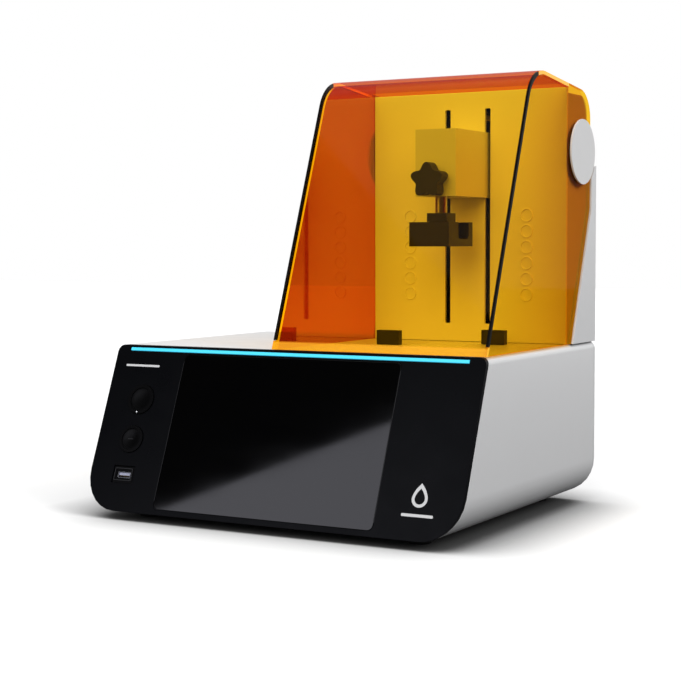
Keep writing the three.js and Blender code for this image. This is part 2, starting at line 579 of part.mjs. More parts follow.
function addProjector() {
  const x0 = AXIS.x - ENGINE.halfX;
  const x1 = AXIS.x + ENGINE.halfX;
  part('light_engine', box(x0, x1, ENGINE.y0, ENGINE.y1, ENGINE.low, ENGINE.high), DARK);
  part('projection_lens', cut(
    alongZ(circle(AXIS.x, AXIS.y, LENS.radius, 36), ENGINE.high + GAP, LENS.top),
    alongZ(circle(AXIS.x, AXIS.y, LENS.radius - LENS.wall, 36), LENS.top - LENS.recess, LENS.top + 5),
  ), BLACK);
  const sinkX = x1 + GAP;
  const { y0, y1, low, high } = ENGINE;
  const finPitch = (y1 - y0 - 8) / (SINK.fins - 1);
  const fins = Array.from({ length: SINK.fins }, (_, k) => {
    const y = y0 + 3 + k * finPitch;
    return box(sinkX + SINK.plate - 1, sinkX + SINK.deep, y, y + SINK.fin, low, high);
  });
  part('heat_sink', join(box(sinkX, sinkX + SINK.plate, y0, y1, low, high), ...fins), ALUMINIUM);

  const place = new THREE.Group();
  place.position.set(sinkX + SINK.deep + GAP, (y0 + y1) / 2, (low + high) / 2);
  place.rotation.y = Math.PI / 2;
  addFan('engine_fan', SIDE_FAN, place);
}

const SUPPLY = { x0: -120, x1: -66, y0: 60, y1: 190, low: 6, high: 40 };
const BOARD = { x0: -60, x1: 26, y0: 40, y1: 150, low: 8, thick: 1.6 };
const BOARD_PARTS = [
  { x0: -40, x1: -15, y0: 70, y1: 95, high: 6.4 },
  { x0: -56, x1: -48, y0: 110, y1: 145, high: 10.4 },
  { x0: 0, x1: 20, y0: 50, y1: 62, high: 8.4 },
];

// A box in the rear panel, of a half width and from z0 to z1 about a place, reaching in by `deep`.
function rearBox({ x, z }, half, z0, z1, deep, out) {
  return box(x - half, x + half, BODY.rear - deep, BODY.rear + out, z + z0, z + z1);
}

function addPowerInlet() {
  const { wide, high, depth, wing, wingThick, switchUp } = INLET;
  const flange = rearBox(INLET, wide / 2 + wing, -high / 2 - 3, high / 2 + 3, -GAP, GAP + wingThick);
  part('power_inlet', cut(
    join(rearBox(INLET, wide / 2, -high / 2, high / 2, depth, 1), flange),
    rearBox(INLET, 12.5, -20, -3, 16, 10),
    rearBox(INLET, 10.3, switchUp - 7.3, switchUp + 7.3, 12, 10),
  ), BLACK);
  const profile = rounded([[-1.5, -6], [6.3, -6, 1], [5.1, 0, 4], [6.3, 6, 1], [-1.5, 6]], 3);
  const lever = part('rocker_switch', alongX(profile, -10, 10), BLACK);
  lever.position.set(INLET.x, BODY.rear - 3.5, INLET.z + switchUp);
  lever.rotation.x = THREE.MathUtils.degToRad(ROCKER_TILT);
}

function addElectronics() {
  const place = new THREE.Group();
  place.position.set(FAN.x, BODY.rear - BODY.wall - GAP - FAN.depth, FAN.z);
  place.rotation.x = -Math.PI / 2;
  addFan('exhaust_fan', FAN, place);

  const { wide, high, depth } = NETWORK;
  part('network_port', cut(
    rearBox(NETWORK, wide / 2, -high / 2, high / 2, depth, 0.5),
    rearBox(NETWORK, 6, -4.5, 4, 12, 5),
  ), STEEL);

  const floor = BODY.bottom + COVER.thick + GAP;
  const { x0: supplyX, x1, y0, y1, low, high: supplyHigh } = SUPPLY;
  part('power_supply', box(supplyX, x1, y0, y1, floor + low, floor + supplyHigh), STEEL);
  const boardTop = floor + BOARD.low + BOARD.thick;
  const chips = BOARD_PARTS.map((chip) => box(
    chip.x0, chip.x1, chip.y0, chip.y1, boardTop - 0.6, boardTop + chip.high));
  part('main_board', join(
    box(BOARD.x0, BOARD.x1, BOARD.y0, BOARD.y1, boardTop - BOARD.thick, boardTop), ...chips), GREEN);
}

// ---------------------------------------------------------------- assembly

addBody();
addFrontPanel();
addColumn();
addArm(addZAxis());
addVatStops();
addHood();
addProjector();
addPowerInlet();
addElectronics();

const bounds = new THREE.Box3().setFromObject(printer, true);
const middle = bounds.getCenter(new THREE.Vector3());
printer.position.set(-middle.x, -middle.y, -bounds.min.z);

export default printer;
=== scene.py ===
"""Looks of a desktop resin printer with an amber hood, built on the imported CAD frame.

Everything is in metres in the row frame. X runs right, Y runs back and the floor is at Z = 0.
"""

import json
import math

import bmesh
import bpy
from mathutils import Matrix, Vector


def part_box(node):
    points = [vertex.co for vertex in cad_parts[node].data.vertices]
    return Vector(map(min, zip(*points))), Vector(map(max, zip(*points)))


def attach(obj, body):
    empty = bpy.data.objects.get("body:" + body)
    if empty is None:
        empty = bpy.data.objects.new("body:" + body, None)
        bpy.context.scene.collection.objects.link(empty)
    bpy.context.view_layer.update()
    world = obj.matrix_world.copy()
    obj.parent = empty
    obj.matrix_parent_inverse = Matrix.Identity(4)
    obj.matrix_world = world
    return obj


MM = 0.001

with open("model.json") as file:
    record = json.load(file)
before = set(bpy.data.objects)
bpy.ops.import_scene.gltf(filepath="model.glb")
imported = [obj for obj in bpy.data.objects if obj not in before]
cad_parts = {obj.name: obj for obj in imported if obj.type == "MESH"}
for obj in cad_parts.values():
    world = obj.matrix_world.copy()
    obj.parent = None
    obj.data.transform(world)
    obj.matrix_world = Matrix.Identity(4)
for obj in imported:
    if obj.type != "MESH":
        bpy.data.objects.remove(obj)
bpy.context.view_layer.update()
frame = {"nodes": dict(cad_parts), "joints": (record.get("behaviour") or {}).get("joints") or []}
nodes = frame["nodes"]


# ---------------------------------------------------------------- places taken from the frame


def centre(node):
    low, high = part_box(node)
    return (low + high) / 2


def joint(name):
    return next(j for j in frame["joints"] if j["name"] == name)


BODY_LOW, BODY_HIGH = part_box("base_shell")
DECK = BODY_HIGH.z
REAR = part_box("rear_panel")[1].y
BODY_X = (BODY_LOW.x + BODY_HIGH.x) / 2
PLATE_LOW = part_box("back_plate")[0]
SEAM_LOW, SEAM_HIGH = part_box("hood_seam_left")
SCREW = centre("lead_screw")

# The front panel leans back. Its buttons are pressed straight into it.
PANEL_OUT = -Vector(joint("power_press")["axis"]).normalized()
PANEL_RIGHT = Vector((1, 0, 0))
PANEL_UP = PANEL_OUT.cross(PANEL_RIGHT)
PANEL_LOW, PANEL_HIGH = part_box("front_panel")
PANEL_LENGTH = (PANEL_HIGH.z - PANEL_LOW.z) / PANEL_UP.z
PANEL_TOP = Vector((BODY_X, PANEL_LOW.y, PANEL_LOW.z)) + PANEL_UP * PANEL_LENGTH


def on_panel(x, down, out=0.0):
    """A point of the panel: x from its middle, down from its top edge, out from its face."""
    return PANEL_TOP + PANEL_RIGHT * x - PANEL_UP * down + PANEL_OUT * out


def panel_place(node):
    """(x, down) of a node's middle, measured on the panel."""
    offset = centre(node) - PANEL_TOP
    return offset.dot(PANEL_RIGHT), -offset.dot(PANEL_UP)


def panel_matrix(x, down, out=0.0):
    """A local frame on the panel with X right, Y up the slope and Z out."""
    turn = Matrix((PANEL_RIGHT, PANEL_UP, PANEL_OUT)).transposed()
    return Matrix.Translation(on_panel(x, down, out)) @ turn.to_4x4()


def rear_matrix():
    """A local frame on the rear panel, seen from behind, with Y up and Z out."""
    return Matrix(((-1, 0, 0, 0), (0, 0, 1, REAR), (0, 1, 0, 0), (0, 0, 0, 1)))


def plate_matrix():
    """A local frame on the back plate's front, with Y up and Z out towards the hood."""
    return Matrix(((1, 0, 0, 0), (0, 0, -1, PLATE_LOW.y), (0, 1, 0, 0), (0, 0, 0, 1)))


# ---------------------------------------------------------------- shader building


def new_material(name):
    made = bpy.data.materials.new(name)
    made.use_nodes = True
    made.node_tree.nodes.clear()
    return made, made.node_tree


def shader(tree, kind, **settings):
    """A shader or texture node. Settings name either a property or, as in Base_Color, a socket."""
    node = tree.nodes.new(kind)
    for key, value in settings.items():
        socket = key.replace("_", " ")
        if socket in node.inputs:
            node.inputs[socket].default_value = value
        else:
            setattr(node, key, value)
    return node


def link(tree, source, target):
    tree.links.new(source, target)


def rgba(colour):
    return (*colour, 1.0)


def noise(tree, scale, detail=2.0, stretch=None):
    """Noise in the object's own coordinates, scale in features per metre."""
    place = shader(tree, "ShaderNodeTexCoord").outputs["Object"]
    if stretch:
        mapping = shader(tree, "ShaderNodeMapping", Scale=stretch)
        link(tree, place, mapping.inputs["Vector"])
        place = mapping.outputs["Vector"]
    texture = shader(tree, "ShaderNodeTexNoise", Scale=scale, Detail=detail)
    link(tree, place, texture.inputs["Vector"])
    return texture.outputs["Fac"]


def spread(tree, value, low, high, start=0.3, end=0.7):
    """Maps a value between start and end onto low and high."""
    ranged = shader(tree, "ShaderNodeMapRange")
    link(tree, value, ranged.inputs["Value"])
    for key, number in (("From Min", start), ("From Max", end), ("To Min", low), ("To Max", high)):
        ranged.inputs[key].default_value = number
    return ranged.outputs["Result"]


def blend_colours(tree, factor, first, second):
    """first where factor is 0, second where it is 1. Each is a colour or a socket."""
    mix = shader(tree, "ShaderNodeMix", data_type="RGBA")
    link(tree, factor, mix.inputs["Factor"])
    sockets = [s for s in mix.inputs if s.type == "RGBA"]
    for socket, colour in zip(sockets, (first, second)):
        if isinstance(colour, tuple):
            socket.default_value = rgba(colour)
        else:
            link(tree, colour, socket)
    return next(s for s in mix.outputs if s.type == "RGBA")


def bump(tree, height, depth, strength=1.0):
    node = shader(tree, "ShaderNodeBump", Strength=strength, Distance=depth)
    link(tree, height, node.inputs["Height"])
    return node.outputs["Normal"]


def moulded(name, colour, roughness, grain=0.8 * MM, depth=0.003 * MM, drift=0.03, specular=0.5):
    """Moulded or painted surface: fine grain, and slow drift in tone and gloss."""
    made, tree = new_material(name)
    output = shader(tree, "ShaderNodeOutputMaterial")
    surface = shader(tree, "ShaderNodeBsdfPrincipled", Specular_IOR_Level=specular)
    slow = noise(tree, 14, 3.0)
    darker = tuple(c * (1 - drift) for c in colour)
    lighter = tuple(min(1.0, c * (1 + drift)) for c in colour)
    link(tree, blend_colours(tree, slow, darker, lighter), surface.inputs["Base Color"])
    smudges = noise(tree, 45, 4.0)
    link(tree, spread(tree, smudges, roughness * 0.88, roughness * 1.12), surface.inputs["Roughness"])
    fine = noise(tree, 1 / grain, 1.0)
    link(tree, bump(tree, fine, depth), surface.inputs["Normal"])
    link(tree, surface.outputs["BSDF"], output.inputs["Surface"])
    return made


def brushed(name, colour, roughness):
    """Drawn or brushed metal with fine level lines."""
    made, tree = new_material(name)
    output = shader(tree, "ShaderNodeOutputMaterial")
    surface = shader(tree, "ShaderNodeBsdfPrincipled", Metallic=1.0)
    lines = noise(tree, 260, 3.0, (1, 1, 60))
    darker = tuple(c * 0.86 for c in colour)
    link(tree, blend_colours(tree, lines, darker, colour), surface.inputs["Base Color"])
    link(tree, spread(tree, lines, roughness * 0.8, roughness * 1.25), surface.inputs["Roughness"])
    link(tree, bump(tree, lines, 0.01 * MM), surface.inputs["Normal"])
    link(tree, surface.outputs["BSDF"], output.inputs["Surface"])
    return made


def glowing(name, colour, strength):
    """A milky light guide, which shines a little less in places."""
    made, tree = new_material(name)
    output = shader(tree, "ShaderNodeOutputMaterial")
    surface = shader(tree, "ShaderNodeBsdfPrincipled", Roughness=0.35, Base_Color=rgba(colour))
    drift = noise(tree, 30, 2.0)
    dim = tuple(c * 0.9 for c in colour)
    link(tree, blend_colours(tree, drift, dim, colour), surface.inputs["Emission Color"])
    surface.inputs["Emission Strength"].default_value = strength
    link(tree, surface.outputs["BSDF"], output.inputs["Surface"])
    return made


def screen_glass():
    """Black touchscreen glass with slow drift in its depth and a few smears."""
    made, tree = new_material("screen_glass")
    output = shader(tree, "ShaderNodeOutputMaterial")
    surface = shader(tree, "ShaderNodeBsdfPrincipled", Specular_IOR_Level=0.5, IOR=1.5)
    depth = noise(tree, 9, 2.0)
    link(tree, blend_colours(tree, depth, (0.0005, 0.0005, 0.0006), (0.0008, 0.0008, 0.0009)),
         surface.inputs["Base Color"])
    smears = noise(tree, 22, 5.0, (1, 1, 3))
    link(tree, spread(tree, smears, 0.04, 0.06), surface.inputs["Roughness"])
    link(tree, bump(tree, noise(tree, 900, 1.0), 0.002 * MM), surface.inputs["Normal"])
    link(tree, surface.outputs["BSDF"], output.inputs["Surface"])
    return made


def maths(tree, operation, first, second=None):
    """Each operand is a number or a socket."""
    node = shader(tree, "ShaderNodeMath", operation=operation)
    for socket, value in zip(node.inputs, (first, second)):
        if isinstance(value, (int, float)):
            socket.default_value = value
        elif value is not None:
            link(tree, value, socket)
    return node.outputs["Value"]


def along_axis(tree, source, axis):
    """One coordinate of a point ("Object") or of its normal ("Normal") in the piece's own frame."""
    parts = shader(tree, "ShaderNodeSeparateXYZ")
    link(tree, shader(tree, "ShaderNodeTexCoord").outputs[source], parts.inputs["Vector"])
    return parts.outputs[axis]


def mixed(tree, factor, first, second):
    """first where factor is 0, second where it is 1. Each is a shader node or a shader socket."""
    node = shader(tree, "ShaderNodeMixShader")
    link(tree, factor, node.inputs["Fac"])
    for socket, part in ((node.inputs[1], first), (node.inputs[2], second)):
        link(tree, part if isinstance(part, bpy.types.NodeSocket) else part.outputs[0], socket)
    return node.outputs["Shader"]


AMBER_EDGE_GLOW = (0.85, 0.42, 0.015)  # a cut face's painted glow, standing in for light carried within the sheet
AMBER_INSIDE = (0.46, 0.034, 0.2)  # a cheek's inner face, at the end of a long way through amber
AMBER_MIRROR_INSIDE = (1.0, 0.5, 0.5)
WHITE = (1.0, 1.0, 1.0)
ACRYLIC_IOR = 1.49
GLOW_BAND = (7 * MM, 0.35)  # a band of painted glow on the sheet along the deck: how high, and how strong


def amber_tint(tree, tint):
    """What one face lets through: deeper where the way through the sheet is longer."""
    deeper = tuple(c ** 1.1 for c in tint)
    tinted = blend_colours(tree, noise(tree, 6), tint, deeper)
    grazing = (tint[0] ** 6 * 0.8, tint[1] ** 6, tint[2] ** 2)
    steep = shader(tree, "ShaderNodeLayerWeight", Blend=0.5).outputs["Facing"]
    return blend_colours(tree, spread(tree, steep, 0.0, 1.0, 0.55, 0.8), tinted, grazing)


def amber_clear(tree, tone, lamp_tint):
    """See-through acrylic. Lamp light passes with its own tint, as this doesn't bend or scatter it."""
    seen = shader(tree, "ShaderNodeBsdfTransparent")
    link(tree, tone, seen.inputs["Color"])
    lamp = shader(tree, "ShaderNodeBsdfTransparent", Color=rgba(lamp_tint))
    path = shader(tree, "ShaderNodeLightPath")
    lighting = maths(tree, "MAXIMUM", path.outputs["Is Shadow Ray"], path.outputs["Is Diffuse Ray"])
    return mixed(tree, lighting, seen, lamp)


def amber_mirror(tree, colour):
    mirror = shader(tree, "ShaderNodeBsdfGlossy", Color=rgba(colour))
    link(tree, spread(tree, noise(tree, 30, 3.0), 0.02, 0.05), mirror.inputs["Roughness"])
    link(tree, bump(tree, noise(tree, 12, 1.0), 0.15 * MM, 0.4), mirror.inputs["Normal"])
    return mirror


def painted_edge_glow(tree):
    # Painted glow: emission standing in for light that the acrylic carries to its cut edges.
    lit = shader(tree, "ShaderNodeBsdfPrincipled", Roughness=0.25, Emission_Strength=0.3)
    lit.inputs["Base Color"].default_value = rgba(AMBER_EDGE_GLOW)
    lit.inputs["Emission Color"].default_value = rgba(AMBER_EDGE_GLOW)
    return lit


def finish_amber(tree, clear, mirror, mirror_amount, outside, glow_faces):
    """Mixes the mirror over the clear sheet by Fresnel, outside faces only, and the painted edge glow over
    both.
    """
    fresnel = shader(tree, "ShaderNodeFresnel", IOR=ACRYLIC_IOR).outputs["Fac"]
    share = maths(tree, "MULTIPLY", maths(tree, "MULTIPLY", fresnel, outside), mirror_amount)
    sheet = mixed(tree, share, clear, mirror)
    output = shader(tree, "ShaderNodeOutputMaterial")
    link(tree, mixed(tree, glow_faces, sheet, painted_edge_glow(tree)), output.inputs["Surface"])


def outer_faces(tree):
    """1 on the way into the sheet and 0 on the way out, where nothing mirrors."""
    return maths(tree, "SUBTRACT", 1.0, shader(tree, "ShaderNodeNewGeometry").outputs["Backfacing"])


def side_faces(tree, on, off):
    """on for faces that look left or right, off for the others."""
    return spread(tree, maths(tree, "ABSOLUTE", along_axis(tree, "Normal", "X")), off, on, 0.4, 0.6)


def amber_front():
    """The bent front sheet. Its side edges hide in the dark seams, except behind and below them, where they
    get painted glow, as does a band along the deck.
    """
    made, tree = new_material("amber_sheet")
    clear = amber_clear(tree, amber_tint(tree, (0.99, 0.77, 0.16)), (1.0, 0.98, 0.9))
    behind = spread(tree, along_axis(tree, "Object", "Y"), 0.0, 1.0, SEAM_HIGH.y, SEAM_HIGH.y + 1 * MM)
    below = spread(tree, along_axis(tree, "Object", "Z"), 1.0, 0.0, SEAM_LOW.z - 1 * MM, SEAM_LOW.z)
    # Painted glow on the side edges behind and below the seams, and on a band along the deck.
    glow_faces = maths(tree, "MULTIPLY", side_faces(tree, 1.0, 0.0), maths(tree, "MAXIMUM", behind, below))
    height, most = GLOW_BAND
    from_deck = maths(tree, "ABSOLUTE", maths(tree, "SUBTRACT", along_axis(tree, "Object", "Z"), DECK))
    band_glow = spread(tree, from_deck, most, 0.0, height * 0.8, height)
    glow_faces = maths(tree, "MAXIMUM", glow_faces, band_glow)
    finish_amber(tree, clear, amber_mirror(tree, WHITE), 0.35, outer_faces(tree), glow_faces)
    return made


def amber_cheek(side, inward):
    """A cheek, whose inner side looks towards inward on X. Its front edge hides behind the seam."""
    made, tree = new_material("amber_" + side)
    outside = outer_faces(tree)
    facing_in = maths(tree, "MULTIPLY", along_axis(tree, "Normal", "X"), inward)
    entering = maths(tree, "MULTIPLY", outside, spread(tree, facing_in, 0.0, 1.0, 0.0, 0.5))
    tone = blend_colours(tree, entering, amber_tint(tree, (0.995, 0.83, 0.15)), AMBER_INSIDE)
    mirror_amount = spread(tree, facing_in, 0.12, 4.0, 0.0, 0.5)
    rearward = spread(tree, along_axis(tree, "Normal", "Y"), 0.0, 1.0, -0.1, 0.1)
    # Painted glow on the cheek's rear cut edge.
    glow_faces = maths(tree, "MULTIPLY", side_faces(tree, 0.0, 1.0), rearward)
    clear = amber_clear(tree, tone, (1.0, 0.8, 0.45))
    finish_amber(tree, clear, amber_mirror(tree, AMBER_MIRROR_INSIDE), mirror_amount, outside, glow_faces)
    return made


# ---------------------------------------------------------------- finishes of the CAD nodes


def make_finishes():
    return {
        "white_shell": moulded("white_shell", (0.57, 0.572, 0.58), 0.32, drift=0.012),
        "white_arm": moulded("white_arm", (0.60, 0.60, 0.60), 0.35, drift=0.015),
        "white_cap": moulded("white_cap", (0.60, 0.60, 0.605), 0.38, drift=0.01),
        "dark_cover": moulded("dark_cover", (0.016, 0.016, 0.018), 0.5, depth=0.02 * MM),
        "foot_rubber": moulded("foot_rubber", (0.012, 0.012, 0.012), 0.8, 0.8 * MM, 0.03 * MM, specular=0.3),
        "panel_black": moulded("panel_black", (0.0017, 0.0019, 0.0026), 0.3, 1.0 * MM, 0.001 * MM,
                               0.02, specular=0.07),
        "screen_glass": screen_glass(),
        "dark_plastic": moulded("dark_plastic", (0.018, 0.018, 0.02), 0.5, 0.4 * MM, 0.04 * MM),
        "cyan_light": glowing("cyan_light", (0.04, 0.44, 0.62), 0.85),
        "button_black": moulded("button_black", (0.0012, 0.0012, 0.0014), 0.3, 1.0 * MM, 0.001 * MM, 0.02,
                                specular=0.1),
        "window_glass": moulded("window_glass", (0.55, 0.58, 0.6), 0.08, 2 * MM, 0.001 * MM),
        "aluminium": brushed("aluminium", (0.72, 0.73, 0.75), 0.32),
        "steel": brushed("steel", (0.56, 0.57, 0.59), 0.26),
        "motor_steel": moulded("motor_steel", (0.02, 0.02, 0.022), 0.42, 0.4 * MM, 0.03 * MM),
        "brass": brushed("brass", (0.72, 0.5, 0.2), 0.3),
        "anodised_black": moulded("anodised_black", (0.012, 0.011, 0.011), 0.42, 0.25 * MM, 0.02 * MM),
        "seam_black": moulded("seam_black", (0.004, 0.003, 0.002), 0.45, 0.5 * MM, 0.01 * MM, specular=0.1),
        "board_green": moulded("board_green", (0.012, 0.09, 0.04), 0.4, 1.5 * MM, 0.05 * MM, drift=0.2),
        # Lighter than the shell's white: painted light, standing in for the light that reaches the back
        # plate under the hood.
        "white_plate": moulded("white_plate", (0.82, 0.82, 0.82), 0.35),
        "mark_grey": moulded("mark_grey", (0.55, 0.55, 0.56), 0.5),
        "tongue_blue": moulded("tongue_blue", (0.30, 0.31, 0.42), 0.3),
        "bezel_line": moulded("bezel_line", (0.016, 0.016, 0.018), 0.4),
        "status_light": glowing("status_light", (0.7, 0.72, 0.75), 0.7),
        "amber_sheet": amber_front(),
        "amber_left": amber_cheek("left", 1),
        "amber_right": amber_cheek("right", -1),
    }


# Nodes whose finish isn't the one named after their slot.
OWN_FINISH = {
    "back_plate": "white_plate",
    "usb_port": "button_black",
    "hood_front_sheet": "amber_sheet",
    "hood_cheek_left": "amber_left",
    "hood_cheek_right": "amber_right",
}


def dress_nodes():
    """Gives each CAD node the finish named after its slot, or its own one."""
    for name, node in nodes.items():
        for slot in node.material_slots:
            slot.material = finishes[OWN_FINISH.get(name, slot.material.name.split(".")[0])]


finishes = make_finishes()
dress_nodes()


# ---------------------------------------------------------------- rounded edges of the CAD nodes


def smooth_by_angle(degrees):
    """A modifier group that shades faces smooth and keeps edges sharper than an angle crisp."""
    group = bpy.data.node_groups.new("smooth_by_angle", "GeometryNodeTree")
    group.interface.new_socket("Geometry", in_out="INPUT", socket_type="NodeSocketGeometry")
    group.interface.new_socket("Geometry", in_out="OUTPUT", socket_type="NodeSocketGeometry")
    start = group.nodes.new("NodeGroupInput")
    plain = group.nodes.new("GeometryNodeRemoveAttribute")
    plain.inputs["Name"].default_value = "custom_normal"
    faces = group.nodes.new("GeometryNodeSetShadeSmooth")
    faces.domain = "FACE"
    angle = group.nodes.new("GeometryNodeInputMeshEdgeAngle")
    sharp = group.nodes.new("FunctionNodeCompare")
    sharp.operation = "GREATER_THAN"
    sharp.inputs["B"].default_value = math.radians(degrees)
    edges = group.nodes.new("GeometryNodeSetShadeSmooth")
    edges.domain = "EDGE"
    edges.inputs["Shade Smooth"].default_value = False
    end = group.nodes.new("NodeGroupOutput")
    link(group, start.outputs[0], plain.inputs[0])
    link(group, plain.outputs[0], faces.inputs[0])
    link(group, faces.outputs[0], edges.inputs[0])
    link(group, angle.outputs["Unsigned Angle"], sharp.inputs["A"])
    link(group, sharp.outputs["Result"], edges.inputs["Selection"])
    link(group, edges.outputs[0], end.inputs[0])
    return group


# Radius in millimetres of the small rounding on each node's edges.
EDGE_RADIUS = {
    0.8: ["base_shell", "rear_panel", "column_head"],
    0.5: ["front_panel", "column_side_left", "column_side_right", "column_rear_cover", "hinge_cap_left",
          "hinge_cap_right", "clamp_knob", "foot_front_left", "foot_front_right", "foot_rear_left",
          "foot_rear_right"],
    0.4: ["build_platform", "platform_neck", "vat_stop_left", "vat_stop_right", "arm_bracket",
          "touchscreen_glass", "power_inlet", "hood_front_sheet", "hood_cheek_left", "hood_cheek_right"],
    0.25: ["back_plate", "usb_port", "rocker_switch", "network_port", "projection_window", "light_strip",
           "hood_seam_left", "hood_seam_right", "bottom_cover"],
}


def round_edges():
    """Rounds the edges a little. The bevel comes last, so that it keeps flat faces flat in their shading."""
    shading = smooth_by_angle(32)
    radius_of = {node: radius for radius, members in EDGE_RADIUS.items() for node in members}
    for name, node in nodes.items():
        weld = node.modifiers.new("weld", "WELD")
        weld.merge_threshold = 0.002 * MM
        shade = node.modifiers.new("shade", "NODES")
        shade.node_group = shading
        if name in radius_of:
            bevel = node.modifiers.new("bevel", "BEVEL")
            bevel.width = radius_of[name] * MM
            bevel.segments = 2
            bevel.limit_method = "ANGLE"
            bevel.angle_limit = math.radians(40)
            bevel.harden_normals = True


round_edges()


# ---------------------------------------------------------------- small pieces


def piece(name, made, finish, place, body="base"):
    """A new object from a bmesh, which it uses up. place is a matrix in the row frame."""
    mesh = bpy.data.meshes.new(name)
    made.to_mesh(mesh)
    made.free()
    thing = bpy.data.objects.new(name, mesh)
    bpy.context.scene.collection.objects.link(thing)
    mesh.materials.append(finishes[finish])
    thing.matrix_world = place
    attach(thing, body)


def slab(outline, low, high, bevel=0.0, hole=None):
    """A plate of an outline in X and Y from low to high, with its top edges bevelled."""
    made = bmesh.new()
    add_slab(made, outline, low, high, bevel, hole)
    return made


def add_slab(made, outline, low, high, bevel=0.0, hole=None):
    """Adds such a plate to a bmesh. An outline gives its points for a given inset."""
    def wall(points, inset, flip):
        rings = [[made.verts.new((x, y, z)) for x, y in points(shrink)] for z, shrink in inset]
        for lower, upper in zip(rings, rings[1:]):
            for k in range(len(lower)):
                after = (k + 1) % len(lower)
                corners = [lower[k], lower[after], upper[after], upper[k]]
                made.faces.new(corners[::-1] if flip else corners)
        return rings[0], rings[-1]

    levels = [(low, 0.0), (high - bevel, 0.0), (high, bevel)] if bevel else [(low, 0.0), (high, 0.0)]
    bottom, top = wall(outline, levels, False)
    if hole is None:
        made.faces.new(top)
        made.faces.new(bottom[::-1])
        return
    inner = [(z, -shrink) for z, shrink in levels]
    inner_bottom, inner_top = wall(hole, inner, True)
    for k in range(len(top)):
        after = (k + 1) % len(top)
        made.faces.new([top[k], top[after], inner_top[after], inner_top[k]])
        made.faces.new([bottom[after], bottom[k], inner_bottom[k], inner_bottom[after]])


def disc(radius, sides, x=0.0, y=0.0):
    """A circle about (x, y), or with few sides a regular polygon."""
    def points(shrink):
        reach = radius - shrink
        turns = [2 * math.pi * k / sides for k in range(sides)]
        return [(x + reach * math.cos(a), y + reach * math.sin(a)) for a in turns]

    return points


CORNER_STEPS = 5
SMALLEST_RADIUS = 0.02 * MM
DROP_SIDES = 48


def oblong(wide, high, radius, x=0.0, y=0.0):
    """A rectangle with round corners about (x, y)."""
    def points(shrink):
        r = max(radius - shrink, SMALLEST_RADIUS)
        made = []
        for quarter, (sx, sy) in enumerate(((1, 1), (-1, 1), (-1, -1), (1, -1))):
            cx = x + sx * (wide / 2 - radius)
            cy = y + sy * (high / 2 - radius)
            for k in range(CORNER_STEPS + 1):
                a = (quarter + k / CORNER_STEPS) * math.pi / 2
                made.append((cx + r * math.cos(a), cy + r * math.sin(a)))
        return made

    return points


def drop(wide, high):
    """A resin drop with its tip up: a circle whose upper half is drawn out to a point."""
    def points(shrink):
        made = []
        for k in range(DROP_SIDES):
            a = 2 * math.pi * k / DROP_SIDES - math.pi / 2
            up = max(math.sin(a), 0.0)
            narrow = 1 - 0.55 * up ** 1.5 - 0.45 * up ** 6
            lift = (high - wide / 2) / (wide / 2) if math.sin(a) > 0 else 1.0
            reach = wide / 2 - shrink
            made.append((reach * math.cos(a) * narrow, reach * math.sin(a) * lift))
        return made

    return points


DECAL = (0.02 * MM, 0.06 * MM)  # a printed mark stands this far off its surface, from and to


def add_usb_bezel():
    x, down = panel_place("usb_port")
    outer = oblong(17.4 * MM, 10.4 * MM, 0.8 * MM)
    inner = oblong(16.4 * MM, 9.4 * MM, 0.4 * MM)
    piece("usb_bezel", slab(outer, DECAL[0], 0.3 * MM, 0.1 * MM, inner), "bezel_line", panel_matrix(x, down))


def rule(length, thick):
    return slab(oblong(length, thick, 0.6 * MM), *DECAL)


def add_marks():
    """Generic marks: a rule at the top left, and a drop over a rule at the lower right."""
    piece("mark_left", rule(34 * MM, 1.8 * MM), "mark_grey", panel_matrix(-141 * MM, 17.9 * MM))
    middle = 134.5 * MM
    outline = slab(drop(13 * MM, 18.5 * MM), *DECAL, hole=drop(8.4 * MM, 12.2 * MM))
    piece("mark_drop", outline, "mark_grey", panel_matrix(middle, 110 * MM))
    piece("mark_right", rule(26 * MM, 2.2 * MM), "mark_grey", panel_matrix(middle, 122.6 * MM))


def add_button_details():
    """The status lamp in the power button's bezel, and the dash on the other button."""
    x, down = panel_place("power_button_bezel")
    lamp = slab(disc(0.55 * MM, 16), 0.0, 0.35 * MM, 0.15 * MM)
    piece("status_lamp", lamp, "status_light", panel_matrix(x - 1.3 * MM, down + 11.0 * MM, 0.72 * MM))
    x, down = panel_place("menu_button")
    cap_depth = 0.1 * MM  # of the dished cap's middle, under the panel's face
    dash = slab(oblong(5 * MM, 0.4 * MM, 0.2 * MM), 0.0, 0.2 * MM)
    piece("menu_dash", dash, "dark_plastic", panel_matrix(x - 1 * MM, down, -cap_depth), "menu_button")


def add_screen_lines():
    """Two hair lines where the screen's glass meets the panel."""
    glass_low, glass_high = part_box("touchscreen_glass")
    half = (glass_high.x - glass_low.x) / 2
    x, down = panel_place("touchscreen_glass")
    lines = bmesh.new()
    for side in (-1, 1):
        add_slab(lines, oblong(0.25 * MM, 118 * MM, 0.1 * MM, side * (half + 0.25 * MM)), *DECAL)
    piece("screen_lines", lines, "bezel_line", panel_matrix(x, down))


